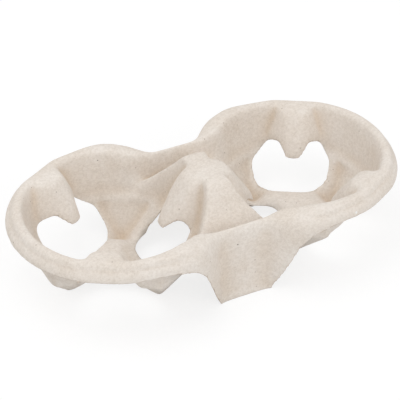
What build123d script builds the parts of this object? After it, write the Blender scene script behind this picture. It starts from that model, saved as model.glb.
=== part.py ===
"""Moulded paper-fibre carrier for two cups, one pressed sheet with no other pieces.

The origin is on the ground under the middle of the carrier. X runs through
both cup wells, Y across the carrier and Z up. Lengths are in millimetres.
"""
import os
from math import cos, radians, sin, tan

from build123d import *

# Sheet
wall = 2.0
overrun = 10.0
snap = 0.2

# Rims of the two lobes, with the skirt that hangs from them
well_spacing = 107.0
rim_height = 47.5
rim_top_radius = 52.6
rim_shoulder_radius = 54.6
rim_shoulder_drop = 2.2
skirt_radius = 58.0
skirt_depth = 9.5
leg_radius = 61.0
lobe_bulge = 3.4
lobe_bulge_round = 30.0
lobe_bulge_angle = 70.0
crest_flat = 1.6
shoulder_flat = 1.4
skirt_flat = 0.8

# Cup wells
mouth_radius = 48.0
crease_radius = 43.0
crease_height = 23.5
floor_radius = 30.0
floor_height = 13.0
hub_radius = 20.0
hub_height = 10.5

# Troughs of the three floor arms, which end in the feet
foot_radius = 27.0
foot_length = 4.0
foot_width = 3.0
trough_width = 34.0
trough_height = 20.0
trough_inner_radius = 17.0

# Waist between the lobes, with its two wings
waist_crest_y = 41.5
waist_height = 42.0
waist_level_x = 14.0
waist_blend_x = 36.0
waist_blend_radius = 9.0
waist_corner_x = 32.0
wing_foot_y = 45.8
wing_lip = 1.8
wing_lip_height = 4.5
wing_foot_x = 16.0
wing_side_x = 27.6
wing_side_z = 28.0
wing_shoulder_x = 34.0
wing_shoulder_z = 35.0
wing_end_x = 46.0

# Divider hill between the wells, and the pits in front of and behind it
hill_height = 53.5
hill_top_y = 15.0
pit_y = 36.5
pit_z = 26.0
pit_rim_y = 38.2

# Fingers that grip a cup
finger_back_radius = 56.0
finger_root_radius = 47.0
finger_brow_radius = 38.5
finger_brow_drop = 1.2
finger_nose_radius = 33.2
finger_tip_radius = 23.8
finger_tip_z = 24.4
finger_base_z = 17.0
finger_plan_radius = 70.0
finger_root_half_width = 28.0
finger_nose_half_width = 18.3
finger_tip_half_width = 4.6
finger_side_slope = 22.0
free_nose_z = 31.0
free_tip_radius = 25.4
free_tip_z = 22.4
inner_finger_height = 52.5
inner_brow_radius = 41.5
finger_pitch = 120.0
finger_directions = (0, finger_pitch, 2 * finger_pitch)

# Holes under the fingers, as radii and as angles to either side of the finger
hole_back_radius = 55.0
hole_wall_radius = 44.5
hole_shoulder_radius = 38.0
hole_floor_radius = 28.5
hole_hub_radius = 16.5
hole_waist_angles = (21.0, 38.0, 44.0, 33.0)
hole_outer_angles = (21.0, 33.0, 40.0, 32.0)
inner_hole_shoulder_radius = 31.0
inner_hole_floor_radius = 22.0
inner_hole_hub_radius = 15.5
inner_hole_angles = (18.0, 30.0, 33.0, 28.0)
right_inner_hole_hub_radius = 11.0
right_inner_hole_angles = (18.0, 30.0, 33.0, 45.0)
hole_round = 4.0
hub_pocket_radius = 15.0
hub_pocket_x = 19.5
hub_pocket_depth = 2.5

across = Plane(origin=(0, 0, 0), x_dir=(0, 1, 0), z_dir=(1, 0, 0))
well_turns = ((-1, 0), (1, 180))


def polar(radius, degrees):
    """Plan point at a distance and a direction."""
    return radius * cos(radians(degrees)), radius * sin(radians(degrees))


def outline_face(plane, points, growth=0.0, keep_right=False):
    """Closed outline on a plane, grown by an amount, and kept to one side of the axis."""
    with BuildSketch(plane) as outline:
        with BuildLine():
            Polyline(*points, close=True)
        make_face()
        if growth:
            offset(amount=growth, kind=Kind.INTERSECTION)
        if keep_right:
            with Locations((-overrun, 0)):
                Rectangle(2 * overrun, 4 * well_spacing, mode=Mode.SUBTRACT)
    return outline.sketch


def lobed_face(level, radius, flat_depth, half_width, inset):
    """Plan of the two lobes, which bulge between the fingers and are flat at them, and of the waist."""
    reach = radius - inset
    corner = reach + lobe_bulge - lobe_bulge_round
    flat = reach - flat_depth + overrun
    tilt = finger_pitch / 2
    with BuildSketch(Plane.XY.offset(level)) as plan:
        with Locations((well_spacing / 2, 0)):
            Circle(reach)
        for side in (-1, 1):
            x, y = polar(corner, side * (180 - lobe_bulge_angle))
            with Locations((well_spacing / 2 + x, y)):
                Circle(lobe_bulge_round)
        make_hull()
        for side in (-1, 1):
            x, y = polar(flat, side * tilt)
            with Locations((well_spacing / 2 + x, y)):
                Rectangle(2 * overrun, 2 * radius, rotation=side * tilt, mode=Mode.SUBTRACT)
        mirror(about=Plane.YZ)
        Rectangle(well_spacing, 2 * (half_width - inset))
        on_waist = [v for v in plan.vertices() if abs(abs(v.Y) - half_width + inset) < snap]
        fillet([v for v in on_waist if abs(v.X) < waist_corner_x], radius=waist_blend_radius)
    return plan.sketch.face()


def wing_y(level):
    """Distance of a wing's outer face from the middle, at a height."""
    return wing_foot_y - (wing_foot_y - waist_crest_y) * level / waist_height


def envelope(inset):
    """Outer skin of rims, skirts and wings, filled from below the ground to the rim."""
    skirt_z = rim_height - skirt_depth
    shoulder_z = rim_height - rim_shoulder_drop - inset
    top_y = wing_y(rim_height) - rim_shoulder_radius + rim_top_radius
    levels = [
        lobed_face(0, leg_radius, skirt_flat, wing_foot_y + wing_lip, inset),
        lobed_face(wing_lip_height, leg_radius, skirt_flat, wing_y(wing_lip_height), inset),
        lobed_face(skirt_z, skirt_radius, skirt_flat, wing_y(skirt_z), inset),
        lobed_face(shoulder_z, rim_shoulder_radius, shoulder_flat, wing_y(shoulder_z), inset),
        lobed_face(rim_height - inset, rim_top_radius, crest_flat, top_y, inset),
    ]
    with BuildPart() as skin:
        for low, high in zip(levels, levels[1:]):
            loft([low, high], ruled=True)
        if inset:
            extrude(levels[0], amount=overrun, dir=(0, 0, -1))
    return skin.part


def waist_air(inset):
    """Space over the waist, where the rims dip to the height of the wings."""
    top = hill_height + overrun
    points = [
        (-waist_blend_x, top),
        (-waist_blend_x, rim_height),
        (-waist_level_x, waist_height),
        (waist_level_x, waist_height),
        (waist_blend_x, rim_height),
        (waist_blend_x, top),
    ]
    with BuildPart() as air:
        extrude(outline_face(Plane.XZ, points, inset), amount=leg_radius + overrun, both=True)
    return air.part


def pit_air(inset):
    """Space of the two pits, one in front of the divider hill and one behind it."""
    top = hill_height + overrun
    half_length = well_spacing / 2 - finger_nose_radius + overrun
    points = [
        (hill_top_y, top),
        (hill_top_y, hill_height),
        (pit_y, pit_z),
        (pit_rim_y, waist_height),
        (pit_rim_y, top),
    ]
    with BuildPart() as air:
        for side in (-1, 1):
            mirrored = [(side * y, z) for y, z in points]
            extrude(outline_face(across, mirrored, inset), amount=half_length, both=True)
    return air.part


def hill(inset):
    """Divider between the wells, a ridge with long slopes to the front and back."""
    points = [(-pit_y, pit_z), (-hill_top_y, hill_height), (hill_top_y, hill_height), (pit_y, pit_z)]
    half_length = well_spacing / 2 - finger_nose_radius
    with BuildPart() as ridge:
        extrude(outline_face(across, points, -inset), amount=half_length, both=True)
    return ridge.part


def trough_air(inset):
    """Space of one floor arm's trough, pointing along X from the hub to the well wall."""
    side = [
        (trough_inner_radius, trough_height),
        (trough_inner_radius, hub_height),
        (foot_radius - foot_length / 2, wall),
        (foot_radius + foot_length / 2, wall),
        (crease_radius, crease_height),
        (crease_radius, crease_height + wall),
    ]
    section = [
        (-trough_width / 2, trough_height),
        (-foot_width / 2, wall),
        (foot_width / 2, wall),
        (trough_width / 2, trough_height),
    ]
    with BuildPart() as air:
        extrude(outline_face(Plane.XZ, side, inset), amount=well_spacing, both=True)
        extrude(outline_face(across, section, inset), amount=well_spacing, mode=Mode.INTERSECT)
    return air.part


def well_air(inset):
    """Space inside one cup well, down to the floor arms and the hub."""
    top = hill_height + overrun
    points = [
        (0, top),
        (mouth_radius, top),
        (mouth_radius, rim_height),
        (crease_radius, crease_height),
        (floor_radius, floor_height),
        (hub_radius, hub_height),
        (0, hub_height),
    ]
    trough = trough_air(inset)
    with BuildPart() as air:
        revolve(outline_face(Plane.XZ, points, inset, keep_right=True), axis=Axis.Z)
        for direction in finger_directions:
            with Locations(Location((0, 0, 0), (0, 0, direction + finger_pitch / 2))):
                add(trough)
        with Locations((hub_pocket_x, 0, hub_height - hub_pocket_depth - inset)):
            Cylinder(hub_pocket_radius + inset, trough_height, align=(Align.CENTER, Align.CENTER, Align.MIN))
    return air.part


def finger(root_z, brow_radius, inset):
    """Solid under one finger's skin, pointing at the well's axis from the +X side."""
    base_z = finger_base_z - 2 * inset
    side = [
        (finger_back_radius, root_z),
        (finger_root_radius, root_z),
        (brow_radius, root_z - finger_brow_drop),
        (finger_tip_radius, finger_tip_z),
        (finger_tip_radius - wall, base_z),
        (finger_back_radius, base_z),
    ]
    half = [
        (finger_plan_radius, finger_root_half_width),
        (finger_nose_radius, finger_nose_half_width),
        (finger_tip_radius - wall, finger_tip_half_width),
    ]
    slope = radians(finger_side_slope)
    growth = (finger_base_z - base_z) * tan(slope) - inset / cos(slope)
    with BuildPart() as body:
        with BuildSketch(Plane.XY.offset(base_z)) as plan:
            with BuildLine():
                Polyline(*half, *[(x, -y) for x, y in reversed(half)], close=True)
            make_face()
            if inset:
                offset(amount=growth, kind=Kind.INTERSECTION)
        extrude(amount=root_z - base_z + wall, taper=finger_side_slope)
        extrude(outline_face(Plane.XZ, side, -inset), amount=well_spacing, both=True, mode=Mode.INTERSECT)
    return body.part


def rim_fingers(inset):
    """The four fingers that hang from the rims, ended at the rims' outer skin."""
    body = finger(rim_height, finger_brow_radius, inset)
    with BuildPart() as grips:
        for side, turn in well_turns:
            for direction in finger_directions[1:]:
                with Locations(Location((side * well_spacing / 2, 0, 0), (0, 0, turn + direction))):
                    add(body)
        add(envelope(inset), mode=Mode.INTERSECT)
    return grips.part


def finger_hole(radii, left_angles, right_angles):
    """Cut that frees one finger from the floor and from the wall below it."""
    left = [polar(hole_back_radius, left_angles[0])]
    left += [polar(radius, angle) for radius, angle in zip(radii, left_angles)]
    right = [polar(hole_back_radius, -right_angles[0])]
    right += [polar(radius, -angle) for radius, angle in zip(radii, right_angles)]
    side = [
        (hole_back_radius + overrun, -overrun),
        (hole_back_radius + overrun, crease_height),
        (crease_radius, crease_height),
        (finger_nose_radius, free_nose_z),
        (free_tip_radius, free_tip_z),
        (0, free_tip_z),
        (0, -overrun),
    ]
    with BuildPart() as cut:
        with BuildSketch(Plane.XY.offset(-overrun)) as plan:
            with BuildLine():
                Polyline(*left, *reversed(right), close=True)
            make_face()
            fillet([v for v in plan.vertices() if v.X < hole_shoulder_radius], radius=hole_round)
        extrude(amount=hill_height + overrun)
        extrude(outline_face(Plane.XZ, side), amount=well_spacing, both=True, mode=Mode.INTERSECT)
    return cut.part


def moulded_form(inset):
    """All that lies under the sheet's upper skin, or under its lower skin when inset by the wall."""
    air = well_air(inset)
    with BuildPart() as form:
        add(envelope(inset))
        add(waist_air(inset), mode=Mode.SUBTRACT)
        add(hill(inset))
        add(pit_air(inset), mode=Mode.SUBTRACT)
        for side, turn in well_turns:
            with Locations(Location((side * well_spacing / 2, 0, 0), (0, 0, turn))):
                add(air, mode=Mode.SUBTRACT)
        add(rim_fingers(inset))
        for side, turn in well_turns:
            with Locations(Location((side * well_spacing / 2, 0, 0), (0, 0, turn))):
                add(finger(inner_finger_height, inner_brow_radius, inset))
    return form.part


def skirt_trim():
    """Everything near the outer skin that lies below the free edge of skirts and wings."""
    skirt_z = rim_height - skirt_depth
    end = well_spacing / 2 + leg_radius + overrun
    points = [
        (wing_foot_x, -overrun),
        (wing_foot_x, 0),
        (wing_side_x, wing_side_z),
        (wing_shoulder_x, wing_shoulder_z),
        (wing_end_x, skirt_z),
        (end, skirt_z),
        (end, -overrun),
    ]
    with BuildPart() as cut:
        for side in (-1, 1):
            mirrored = [(side * x, z) for x, z in points]
            extrude(outline_face(Plane.XZ, mirrored), amount=leg_radius + overrun, both=True)
        add(envelope(2 * wall), mode=Mode.SUBTRACT)
    return cut.part


with BuildPart() as cup_carrier:
    add(moulded_form(0))
    add(moulded_form(wall), mode=Mode.SUBTRACT)
    add(skirt_trim(), mode=Mode.SUBTRACT)
    inner_radii = (hole_wall_radius, inner_hole_shoulder_radius, inner_hole_floor_radius)
    outer_radii = (hole_wall_radius, hole_shoulder_radius, hole_floor_radius, hole_hub_radius)
    inner_holes = (
        finger_hole((*inner_radii, inner_hole_hub_radius), inner_hole_angles, inner_hole_angles),
        finger_hole((*inner_radii, right_inner_hole_hub_radius), right_inner_hole_angles, right_inner_hole_angles),
    )
    left_hole = finger_hole(outer_radii, hole_outer_angles, hole_waist_angles)
    right_hole = finger_hole(outer_radii, hole_waist_angles, hole_outer_angles)
    for (side, turn), inner_hole in zip(well_turns, inner_holes):
        for direction, hole in zip(finger_directions, (inner_hole, left_hole, right_hole)):
            with Locations(Location((side * well_spacing / 2, 0, 0), (0, 0, turn + direction))):
                add(hole, mode=Mode.SUBTRACT)
cup_carrier.part.label = "cup_carrier"

os.makedirs("parts", exist_ok=True)
export_step(cup_carrier.part, "parts/cup_carrier.step")
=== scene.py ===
"""Moulded paper-fibre carrier for two cups, on a pale floor in soft studio light."""

from math import radians

import bmesh
import bpy
import numpy as np
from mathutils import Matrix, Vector, noise


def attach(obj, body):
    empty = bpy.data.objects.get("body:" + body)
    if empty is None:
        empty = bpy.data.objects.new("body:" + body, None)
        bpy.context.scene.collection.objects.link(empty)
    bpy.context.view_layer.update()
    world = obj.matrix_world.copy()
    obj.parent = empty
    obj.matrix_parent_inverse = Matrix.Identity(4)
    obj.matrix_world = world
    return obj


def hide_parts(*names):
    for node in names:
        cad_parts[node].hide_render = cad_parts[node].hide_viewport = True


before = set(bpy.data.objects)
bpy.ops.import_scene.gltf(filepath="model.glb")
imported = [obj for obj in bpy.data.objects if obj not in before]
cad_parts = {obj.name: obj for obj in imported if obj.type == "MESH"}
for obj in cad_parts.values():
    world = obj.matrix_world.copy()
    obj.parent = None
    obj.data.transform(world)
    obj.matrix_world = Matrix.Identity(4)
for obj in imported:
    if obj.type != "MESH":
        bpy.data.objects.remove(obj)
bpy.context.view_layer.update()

# The carrier is one sheet of grey-beige paper pulp, sucked onto a mesh tool and dried. It has no
# joints or fixings. Each crease of the tool comes out as a soft round, and only the edges that the
# trimming die cut round the fingers, floor arms and skirts stay crisp.
weld_distance = 0.00001
cell_size = 0.0011

carrier_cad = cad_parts["cup_carrier"]
carrier_mesh = carrier_cad.data.copy()
carrier_mesh.name = "carrier_pulp"
carrier = bpy.data.objects.new("carrier_pulp", carrier_mesh)
bpy.context.scene.collection.objects.link(carrier)

welding = bmesh.new()
welding.from_mesh(carrier_mesh)
bmesh.ops.remove_doubles(welding, verts=welding.verts, dist=weld_distance)
bmesh.ops.recalc_face_normals(welding, faces=welding.faces)
welding.to_mesh(carrier_mesh)
welding.free()


def pull_to_cad_skin(name):
    """Pulls the remade sheet back onto the skin of the CAD part."""
    pull = carrier.modifiers.new(name, "SHRINKWRAP")
    pull.target = carrier_cad
    pull.wrap_method = "NEAREST_SURFACEPOINT"


# The sheet is remade in even cells, which the wear below needs, and fitted to its true skin.
sheet_cells = carrier.modifiers.new("sheet_cells", "REMESH")
sheet_cells.mode = "VOXEL"
sheet_cells.voxel_size = cell_size
pull_to_cad_skin("true_skin")
evened = carrier.modifiers.new("evened", "SMOOTH")
evened.factor = 0.5
evened.iterations = 2
pull_to_cad_skin("true_skin_again")
view_layer = bpy.context.evaluated_depsgraph_get()
carrier.data = bpy.data.meshes.new_from_object(carrier.evaluated_get(view_layer))
carrier.modifiers.clear()

spots = len(carrier.data.vertices)
place = np.zeros(spots * 3)
carrier.data.vertices.foreach_get("co", place)
place = place.reshape(-1, 3)
facing_flat = np.zeros(spots * 3)
carrier.data.vertices.foreach_get("normal", facing_flat)
facing = facing_flat.reshape(-1, 3).copy()
links = np.zeros(len(carrier.data.edges) * 2, dtype=np.int32)
carrier.data.edges.foreach_get("vertices", links)
ends = np.concatenate([links[0::2], links[1::2]])
others = np.concatenate([links[1::2], links[0::2]])
link_count = np.bincount(ends, minlength=spots).clip(1)


def neighbours_mean(values):
    """Mean of a value over the neighbours of each vertex, one column at a time."""
    columns = []
    for column in values.T:
        total = np.bincount(ends, weights=column[others], minlength=spots)
        columns.append(total / link_count)
    return np.stack(columns, axis=1)


def worn(points, amount):
    """Points moved towards the mean of their neighbours, by a share of the way."""
    return points + amount * (neighbours_mean(points) - points)


# The cut edges are the places where the sheet's two faces turn round into each other, so that their
# normals cancel out. They are held back while the creases between them are worn round, and the
# undersides of the feet keep to the ground.
agreement_steps, blend_steps = 9, 3
hold_agreement, hold_span, least_freedom = 0.55, 0.3, 0.15
cut_agreement, cut_span = 0.88, 0.2
foot_height = 0.002

spread = facing.copy()
for step in range(agreement_steps):
    spread = 0.5 * spread + 0.5 * neighbours_mean(spread)
agreement = np.linalg.norm(spread, axis=1)[:, None]
freedom = ((agreement - hold_agreement) / hold_span).clip(least_freedom, 1.0)
for step in range(blend_steps):
    freedom = neighbours_mean(freedom)
foot_hold = (place[:, 2] / foot_height).clip(0.0, 1.0)
reach = np.ones((spots, 3))
reach[:, 2] = foot_hold

# The die cuts in clean lines: each cut edge is drawn fair along itself.
fairing_steps, fairing_wear = 90, 0.5
own_weight = 0.02

cut = ((cut_agreement - agreement) / cut_span).clip(0.0, 1.0)
cut_beside = neighbours_mean(cut) + own_weight
for step in range(fairing_steps):
    along = (neighbours_mean(cut * place) + own_weight * place) / cut_beside
    place = place + fairing_wear * cut * reach * (along - place)

# The skin loses its cell marks first, in steps forth and back that keep the form. Then the creases
# are worn round.
mark_steps, mark_wear = 10, 0.6
skin_steps, skin_wear = 2, 0.5
crease_steps, crease_wear = 20, 0.55

for step in range(mark_steps):
    place = worn(place, mark_wear * reach)
    place = worn(place, -mark_wear * reach)
for step in range(skin_steps):
    place = worn(place, skin_wear * reach)
for step in range(crease_steps):
    place = worn(place, crease_wear * freedom * reach)

# The rim is rolled: a soft groove runs round its outside, between the crest and the skirt's band,
# and fades out before the waist.
well_centre_x = 0.0535
groove_height, groove_spread, groove_depth = 0.0444, 0.0019, 0.0008
waist_half_length, waist_fade = 0.024, 0.012
side_share, least_radius = 0.5, 0.001

from_well = place[:, :2].copy()
from_well[:, 0] -= np.sign(from_well[:, 0]) * well_centre_x
from_well = from_well / np.linalg.norm(from_well, axis=1)[:, None].clip(least_radius)
outward = ((facing[:, :2] * from_well).sum(axis=1) / side_share).clip(0.0, 1.0)
off_waist = ((np.abs(place[:, 0]) - waist_half_length) / waist_fade).clip(0.0, 1.0)
groove_shape = np.exp(-(((place[:, 2] - groove_height) / groove_spread) ** 2))
groove = groove_depth * groove_shape * outward * off_waist
place = place - facing * groove[:, None]

# Real pulp is never quite true: the skin rolls by a few tenths of a millimetre as it dries.
long_roll, long_roll_height = 42.0, 0.00028
short_roll, short_roll_height = 160.0, 0.00008

for index in range(spots):
    point = Vector(place[index])
    roll = noise.noise(point * long_roll) * long_roll_height
    roll = roll + noise.noise(point * short_roll) * short_roll_height
    place[index] = place[index] + facing[index] * roll * foot_hold[index]
carrier.data.vertices.foreach_set("co", place.ravel())
carrier.data.update()
carrier.data.shade_smooth()

# The hollows and creases get painted shade, darker and browner, which also stands for the browner
# pulp that settles there, and the cut edges get a thin line of painted shade that also stands for
# the raw inside of the pulp. Both are kept as attributes that the material reads.
fill_steps, fill_wear, full_hollow = 16, 0.6, 0.00055
line_agreement, line_span = 0.64, 0.12

carrier.data.vertices.foreach_get("normal", facing_flat)
facing = facing_flat.reshape(-1, 3)
filled = place.copy()
for step in range(fill_steps):
    filled = worn(filled, fill_wear)
hollow_shade = (((filled - place) * facing).sum(axis=1) / full_hollow).clip(0.0, 1.0)
cut_line_raw_and_shade = ((line_agreement - agreement[:, 0]) / line_span).clip(0.0, 1.0)
for name, values in (("hollow_shade", hollow_shade), ("cut_line_raw_and_shade", cut_line_raw_and_shade)):
    layer = carrier.data.attributes.new(name, "FLOAT", "POINT")
    layer.data.foreach_set("value", values.astype(np.float32))

# Pulp finish: felted fibres of mixed waste paper, a little warmer and cooler in patches, with short
# fibres showing, fine pits from the mesh tool, dark specks of bark or ink and a few pale flakes.
patch_dark = (0.81, 0.73, 0.65, 1.0)
patch_light = (0.90, 0.842, 0.785, 1.0)
cloud_dark = (0.86, 0.843, 0.82, 1.0)
cloud_light = (1.0, 1.0, 1.0, 1.0)
fibre_colour = (0.90, 0.84, 0.77, 1.0)
# Tint of the painted shade in the hollows and creases, partly also the browner pulp that settles
# there.
settled_pulp_and_shade_tint = (0.87, 0.80, 0.715, 1.0)
# Tint of the thin painted shade line along the cut edges, partly also the browner raw pulp of the
# cut.
raw_edge_and_shade_tint = (0.74, 0.66, 0.58, 1.0)
fibre_cover = 0.5
strand_scale = (420.0, 2100.0, 2100.0)
strand_from, strand_to = 0.5, 0.74
strand_wander = 0.6
strand_tilt_share = 0.6
strand_relief = 0.35
patch_scale, cloud_scale, pit_scale = 38.0, 640.0, 900.0
speck_core_share = 0.55


def grain(tree, spot, scale, detail, roughness):
    """Noise node over a place, for grain of one size."""
    node = tree.nodes.new("ShaderNodeTexNoise")
    node.inputs["Scale"].default_value = scale
    node.inputs["Detail"].default_value = detail
    node.inputs["Roughness"].default_value = roughness
    tree.links.new(spot, node.inputs["Vector"])
    return node


def worked_out(tree, operation, *terms):
    """Result of a Math node over sockets and plain numbers."""
    node = tree.nodes.new("ShaderNodeMath")
    node.operation = operation
    for slot, term in zip(node.inputs, terms):
        if isinstance(term, float):
            slot.default_value = term
        else:
            tree.links.new(term, slot)
    return node.outputs[0]


fibres = bpy.data.node_groups.new("felted_fibres", "ShaderNodeTree")
fibres.interface.new_socket("Position", in_out="INPUT", socket_type="NodeSocketVector")
fibres.interface.new_socket("Strands", in_out="OUTPUT", socket_type="NodeSocketFloat")
fibres.interface.new_socket("Relief", in_out="OUTPUT", socket_type="NodeSocketFloat")
fibre_in = fibres.nodes.new("NodeGroupInput")
fibre_out = fibres.nodes.new("NodeGroupOutput")
strand_masks = []
for degrees, shift in ((0.0, 1.0), (62.0, 5.0), (118.0, 9.0)):
    turn, tilt = radians(degrees), radians(degrees * strand_tilt_share)
    lie = fibres.nodes.new("ShaderNodeMapping")
    lie.inputs["Location"].default_value = (shift, shift, shift)
    lie.inputs["Rotation"].default_value = (tilt, turn, turn)
    lie.inputs["Scale"].default_value = strand_scale
    fibres.links.new(fibre_in.outputs["Position"], lie.inputs["Vector"])
    strand = grain(fibres, lie.outputs["Vector"], 1.0, 2.0, 0.5)
    strand.inputs["Distortion"].default_value = strand_wander
    ridge = fibres.nodes.new("ShaderNodeMapRange")
    ridge.inputs["From Min"].default_value = strand_from
    ridge.inputs["From Max"].default_value = strand_to
    fibres.links.new(strand.outputs["Fac"], ridge.inputs["Value"])
    strand_masks.append(ridge.outputs["Result"])
two_lies = worked_out(fibres, "MAXIMUM", strand_masks[0], strand_masks[1])
all_lies = worked_out(fibres, "MAXIMUM", two_lies, strand_masks[2])
fibres.links.new(all_lies, fibre_out.inputs["Strands"])
pits = grain(fibres, fibre_in.outputs["Position"], pit_scale, 5.0, 0.62)
relief = worked_out(fibres, "MULTIPLY_ADD", all_lies, strand_relief, pits.outputs["Fac"])
fibres.links.new(relief, fibre_out.inputs["Relief"])

pulp = bpy.data.materials.new("moulded_pulp")
pulp.use_nodes = True
pulp_tree = pulp.node_tree
pulp_shader = pulp_tree.nodes["Principled BSDF"]
pulp_shader.inputs["Specular IOR Level"].default_value = 0.25
pulp_place = pulp_tree.nodes.new("ShaderNodeTexCoord").outputs["Object"]
pulp_fibres = pulp_tree.nodes.new("ShaderNodeGroup")
pulp_fibres.node_tree = fibres
pulp_tree.links.new(pulp_place, pulp_fibres.inputs["Position"])


def two_tone(amount, start, dark, end, light):
    """Colour that runs from dark to light between two values of a noise."""
    node = pulp_tree.nodes.new("ShaderNodeValToRGB")
    low, high = node.color_ramp.elements
    low.position, low.color = start, dark
    high.position, high.color = end, light
    pulp_tree.links.new(amount, node.inputs["Fac"])
    return node.outputs["Color"]


def laid_over(blend, factor, under, colour):
    """Colour mixed over the one below, by a mask or a plain share."""
    node = pulp_tree.nodes.new("ShaderNodeMix")
    node.data_type = "RGBA"
    node.blend_type = blend
    for slot, value in (("Factor", factor), ("A", under), ("B", colour)):
        if isinstance(value, (float, tuple)):
            node.inputs[slot].default_value = value
        else:
            pulp_tree.links.new(value, node.inputs[slot])
    return node.outputs["Result"]


def kept_on_sheet(name):
    """Value of an attribute of the sheet."""
    node = pulp_tree.nodes.new("ShaderNodeAttribute")
    node.attribute_name = name
    return node.outputs["Fac"]


patches = grain(pulp_tree, pulp_place, patch_scale, 4.0, 0.6)
clouds = grain(pulp_tree, pulp_place, cloud_scale, 4.0, 0.7)
patch_colour = two_tone(patches.outputs["Fac"], 0.34, patch_dark, 0.68, patch_light)
cloud_colour = two_tone(clouds.outputs["Fac"], 0.36, cloud_dark, 0.64, cloud_light)
fibre_mask = worked_out(pulp_tree, "MULTIPLY", pulp_fibres.outputs["Strands"], fibre_cover)
mottled = laid_over("MULTIPLY", 1.0, patch_colour, cloud_colour)
stranded = laid_over("MIX", fibre_mask, mottled, fibre_colour)
# Painted shade in the hollows and creases, darker and browner, partly also the browner pulp that
# settles there.
settled_and_shaded = laid_over("MULTIPLY", kept_on_sheet("hollow_shade"), stranded, settled_pulp_and_shade_tint)
# A thin line of painted shade along the cut edges, partly also the browner raw pulp of the cut.
surface_colour = laid_over("MULTIPLY", kept_on_sheet("cut_line_raw_and_shade"), settled_and_shaded, raw_edge_and_shade_tint)


def scattered_specks(scale, size, chosen, shift):
    """Mask of small round specks, one in some of the cells of a scattered pattern."""
    lie = pulp_tree.nodes.new("ShaderNodeMapping")
    lie.inputs["Location"].default_value = (shift, shift, shift)
    pulp_tree.links.new(pulp_place, lie.inputs["Vector"])
    cells = pulp_tree.nodes.new("ShaderNodeTexVoronoi")
    cells.inputs["Scale"].default_value = scale
    pulp_tree.links.new(lie.outputs["Vector"], cells.inputs["Vector"])
    dot = pulp_tree.nodes.new("ShaderNodeMapRange")
    dot.inputs["From Min"].default_value = size
    dot.inputs["From Max"].default_value = size * speck_core_share
    pulp_tree.links.new(cells.outputs["Distance"], dot.inputs["Value"])
    parts = pulp_tree.nodes.new("ShaderNodeSeparateColor")
    pulp_tree.links.new(cells.outputs["Color"], parts.inputs["Color"])
    picked = worked_out(pulp_tree, "LESS_THAN", parts.outputs["Red"], chosen)
    return worked_out(pulp_tree, "MULTIPLY", dot.outputs["Result"], picked)


# Each kind of speck: cells per metre, size in cells, share of the cells, shift and colour.
for scale, size, chosen, shift, colour in (
    (420.0, 0.16, 0.05, 0.11, (0.42, 0.35, 0.29, 1.0)),
    (150.0, 0.075, 0.07, 0.37, (0.24, 0.20, 0.17, 1.0)),
    (95.0, 0.085, 0.06, 0.73, (0.93, 0.91, 0.89, 1.0)),
):
    specks = scattered_specks(scale, size, chosen, shift)
    surface_colour = laid_over("MIX", specks, surface_colour, colour)
pulp_tree.links.new(surface_colour, pulp_shader.inputs["Base Color"])

dullness = pulp_tree.nodes.new("ShaderNodeMapRange")
dullness.inputs["To Min"].default_value = 0.86
dullness.inputs["To Max"].default_value = 0.97
pulp_tree.links.new(clouds.outputs["Fac"], dullness.inputs["Value"])
pulp_tree.links.new(dullness.outputs["Result"], pulp_shader.inputs["Roughness"])

felt_bump = pulp_tree.nodes.new("ShaderNodeBump")
felt_bump.inputs["Strength"].default_value = 0.55
felt_bump.inputs["Distance"].default_value = 0.0004
pulp_tree.links.new(pulp_fibres.outputs["Relief"], felt_bump.inputs["Height"])
pulp_tree.links.new(felt_bump.outputs["Normal"], pulp_shader.inputs["Normal"])

carrier.data.materials.clear()
carrier.data.materials.append(pulp)
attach(carrier, "root")
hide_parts("cup_carrier")

# Studio floor: plain and pale, lit as it is for the carrier, and lifted to paper white for the
# camera, where it still shows the carrier's shadow.
floor_half_size = 3.0
floor_colour = (0.78, 0.78, 0.78, 1.0)
floor_seen_colour = (0.24, 0.24, 0.24, 1.0)
floor_seen_glow = 0.78

floor_shape = bmesh.new()
bmesh.ops.create_grid(floor_shape, x_segments=1, y_segments=1, size=floor_half_size)
floor_mesh = bpy.data.meshes.new("floor")
floor_shape.to_mesh(floor_mesh)
floor_shape.free()
floor = bpy.data.objects.new("floor", floor_mesh)
bpy.context.scene.collection.objects.link(floor)

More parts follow.
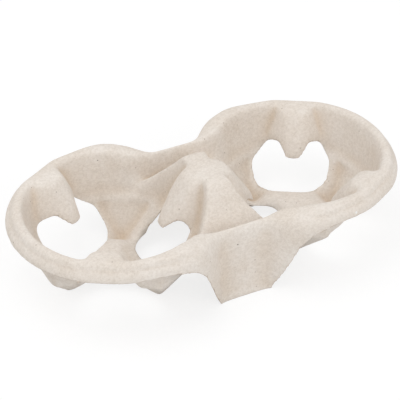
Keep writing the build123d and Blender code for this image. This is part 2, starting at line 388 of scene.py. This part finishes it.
white = bpy.data.materials.new("white_floor")
white.use_nodes = True
white_tree = white.node_tree
white_tree.nodes.clear()
seen_by = white_tree.nodes.new("ShaderNodeLightPath")
seen_direct = worked_out(
    white_tree, "ADD", seen_by.outputs["Is Camera Ray"], seen_by.outputs["Is Glossy Ray"])
seen = worked_out(white_tree, "ADD", seen_direct, seen_by.outputs["Is Transmission Ray"])
floor_tone = white_tree.nodes.new("ShaderNodeMix")
floor_tone.data_type = "RGBA"
floor_tone.inputs["A"].default_value = floor_colour
floor_tone.inputs["B"].default_value = floor_seen_colour
white_tree.links.new(seen, floor_tone.inputs["Factor"])
floor_shader = white_tree.nodes.new("ShaderNodeBsdfDiffuse")
white_tree.links.new(floor_tone.outputs["Result"], floor_shader.inputs["Color"])
floor_glow = white_tree.nodes.new("ShaderNodeEmission")
white_tree.links.new(
    worked_out(white_tree, "MULTIPLY", seen, floor_seen_glow), floor_glow.inputs["Strength"])
floor_sum = white_tree.nodes.new("ShaderNodeAddShader")
white_tree.links.new(floor_shader.outputs[0], floor_sum.inputs[0])
white_tree.links.new(floor_glow.outputs[0], floor_sum.inputs[1])
floor_out = white_tree.nodes.new("ShaderNodeOutputMaterial")
white_tree.links.new(floor_sum.outputs[0], floor_out.inputs["Surface"])
floor_mesh.materials.append(white)

# Studio light: an even white surround, a wide soft lamp overhead to the left, and a weaker one in
# front.
surround = bpy.data.worlds.new("surround")
surround.use_nodes = True
surround_light = surround.node_tree.nodes["Background"]
surround_light.inputs["Color"].default_value = (1.0, 1.0, 1.0, 1.0)
surround_light.inputs["Strength"].default_value = 0.71
bpy.context.scene.world = surround

lamp_size = 0.9
lamp_aim = Vector((0.0, 0.0, 0.02))
for name, stand, watts in (
    ("overhead_softbox", (-0.5, 0.15, 1.2), 4.2),
    ("front_softbox", (0.35, -1.15, 0.75), 3.6),
):
    lamp_data = bpy.data.lights.new(name, "AREA")
    lamp_data.shape = "SQUARE"
    lamp_data.size = lamp_size
    lamp_data.energy = watts
    lamp = bpy.data.objects.new(name, lamp_data)
    lamp.location = stand
    lamp.rotation_euler = (lamp_aim - lamp.location).to_track_quat("-Z", "Y").to_euler()
    bpy.context.scene.collection.objects.link(lamp)

# Camera: above the front left corner, as the photograph was taken, with a long lens.
lens_data = bpy.data.cameras.new("camera")
lens_data.sensor_width = 36.0
lens_data.lens = 139.2
lens_data.clip_end = 20.0
camera = bpy.data.objects.new("camera", lens_data)
bpy.context.scene.collection.objects.link(camera)
camera.location = (-0.3007, -0.5973, 0.5261)
camera_aim = Vector((-0.0036, 0.0, 0.0325))
camera.rotation_euler = (camera_aim - camera.location).to_track_quat("-Z", "Y").to_euler()
bpy.context.scene.camera = camera

bpy.context.scene.view_settings.view_transform = "Standard"
